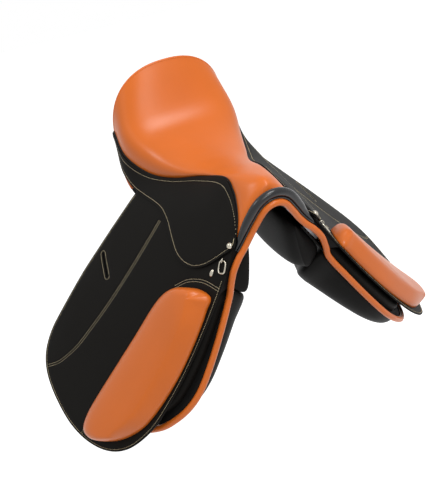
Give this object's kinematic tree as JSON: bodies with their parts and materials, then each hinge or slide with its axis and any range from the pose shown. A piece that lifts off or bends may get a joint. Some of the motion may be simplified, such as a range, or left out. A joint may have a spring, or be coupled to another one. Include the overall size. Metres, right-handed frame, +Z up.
{
  "type": "dressage saddle",
  "caption": "Dressage saddle in black leather with an orange seat, orange knee blocks and orange piping.",
  "frame": {"origin": "on the mid plane at the height of the horse's spine, under the middle of the seat", "axes": "front faces -Y, +X is the rider's left, +Z up"},
  "size_m": [0.8646, 0.4852, 0.6203],
  "materials": {
    "orange_leather": "satin orange saddle leather, fine grain",
    "black_leather": "black bridle leather, fine grain, cream stitching",
    "glossy_black_leather": "glossy black facing leather",
    "panel_leather": "soft matt black leather",
    "polished_nickel": "polished nickel",
    "dark_steel": "dark steel",
    "laminated_beech": "laminated beech",
    "seat_foam": "latex foam",
    "jute_webbing": "woven jute webbing"
  },
  "bodies": {
    "root": {"cantle_back": "black_leather", "cantle_plate": "dark_steel", "catch_pin_left": "dark_steel", "catch_pin_right": "dark_steel", "dee_staple_left": "polished_nickel", "dee_staple_right": "polished_nickel", "dee_stud_left": "polished_nickel", "dee_stud_right": "polished_nickel", "flap_head_left": "black_leather", "flap_head_right": "black_leather", "front_billet_web_left": "jute_webbing", "front_billet_web_right": "jute_webbing", "front_piping": "orange_leather", "gullet_lining": "panel_leather", "gullet_plate": "dark_steel", "inner_knee_block_left": "black_leather", "inner_knee_block_right": "black_leather", "knee_pad_left": "panel_leather", "knee_pad_right": "panel_leather", "panel_left": "panel_leather", "panel_right": "panel_leather", "pommel_facing": "glossy_black_leather", "rear_billet_web_left": "jute_webbing", "rear_billet_web_right": "jute_webbing", "rear_piping_left": "orange_leather", "rear_piping_right": "orange_leather", "seat_cover": "orange_leather", "seat_foam": "seat_foam", "seat_webbing": "jute_webbing", "skirt_band_left": "black_leather", "skirt_band_right": "black_leather", "skirt_nail_left": "polished_nickel", "skirt_nail_right": "polished_nickel", "stirrup_bar_left": "dark_steel", "stirrup_bar_right": "dark_steel", "sweat_flap_left": "panel_leather", "sweat_flap_right": "panel_leather", "tree_frame": "laminated_beech", "tree_point_left": "dark_steel", "tree_point_right": "dark_steel"},
    "flap_left": {"flap_left": "black_leather", "knee_block_left": "orange_leather"},
    "skirt_left": {"skirt_left": "black_leather"},
    "dee_ring_left": {"dee_ring_left": "polished_nickel"},
    "bar_catch_left": {"bar_catch_left": "polished_nickel"},
    "front_billet_left": {"front_billet_left": "black_leather"},
    "rear_billet_left": {"rear_billet_left": "black_leather"},
    "flap_right": {"flap_right": "black_leather", "knee_block_right": "orange_leather"},
    "skirt_right": {"skirt_right": "black_leather"},
    "dee_ring_right": {"dee_ring_right": "polished_nickel"},
    "bar_catch_right": {"bar_catch_right": "polished_nickel"},
    "front_billet_right": {"front_billet_right": "black_leather"},
    "rear_billet_right": {"rear_billet_right": "black_leather"}
  },
  "joints": [
    {"name": "flap_left_lift", "type": "hinge", "parent": "root", "child": "flap_left", "pos_m": [0.16643, -0.03505, -0.01684], "axis": [-0.2454, -0.9692, -0.022], "range_deg": [0, 70]},
    {"name": "skirt_left_lift", "type": "hinge", "parent": "root", "child": "skirt_left", "pos_m": [0.09343, -0.07902, 0.0687], "axis": [-0.0211, -0.9839, -0.1775], "range_deg": [0, 70]},
    {"name": "dee_ring_left_swing", "type": "hinge", "parent": "root", "child": "dee_ring_left", "pos_m": [0.10469, -0.19443, 0.01648], "axis": [-0.318, -0.9377, 0.1399], "range_deg": [0, 100]},
    {"name": "bar_catch_left_turn", "type": "hinge", "parent": "root", "child": "bar_catch_left", "pos_m": [0.10681, -0.0668, 0.02791], "axis": [0.537, -0.1213, -0.8348], "range_deg": [0, 80]},
    {"name": "front_billet_left_swing", "type": "hinge", "parent": "root", "child": "front_billet_left", "pos_m": [0.12848, -0.08614, 0.00044], "axis": [0.7956, -0.2026, 0.571], "range_deg": [-3, 3], "stiffness_Nm_per_rad": 2},
    {"name": "rear_billet_left_swing", "type": "hinge", "parent": "root", "child": "rear_billet_left", "pos_m": [0.13506, 0.02161, 0.02645], "axis": [0.7675, -0.1791, 0.6155], "range_deg": [-3, 3], "stiffness_Nm_per_rad": 2},
    {"name": "flap_right_lift", "type": "hinge", "parent": "root", "child": "flap_right", "pos_m": [-0.16643, -0.03505, -0.01684], "axis": [-0.2454, 0.9692, 0.022], "range_deg": [0, 70]},
    {"name": "skirt_right_lift", "type": "hinge", "parent": "root", "child": "skirt_right", "pos_m": [-0.09343, -0.07902, 0.0687], "axis": [-0.0211, 0.9839, 0.1775], "range_deg": [0, 70]},
    {"name": "dee_ring_right_swing", "type": "hinge", "parent": "root", "child": "dee_ring_right", "pos_m": [-0.10469, -0.19443, 0.01648], "axis": [-0.318, 0.9377, -0.1399], "range_deg": [0, 100]},
    {"name": "bar_catch_right_turn", "type": "hinge", "parent": "root", "child": "bar_catch_right", "pos_m": [-0.10681, -0.0668, 0.02791], "axis": [0.537, 0.1213, 0.8348], "range_deg": [0, 80]},
    {"name": "front_billet_right_swing", "type": "hinge", "parent": "root", "child": "front_billet_right", "pos_m": [-0.12848, -0.08614, 0.00044], "axis": [-0.7956, -0.2026, 0.571], "range_deg": [-3, 3], "stiffness_Nm_per_rad": 2},
    {"name": "rear_billet_right_swing", "type": "hinge", "parent": "root", "child": "rear_billet_right", "pos_m": [-0.13506, 0.02161, 0.02645], "axis": [-0.7675, -0.1791, 0.6155], "range_deg": [-3, 3], "stiffness_Nm_per_rad": 2}
  ]
}
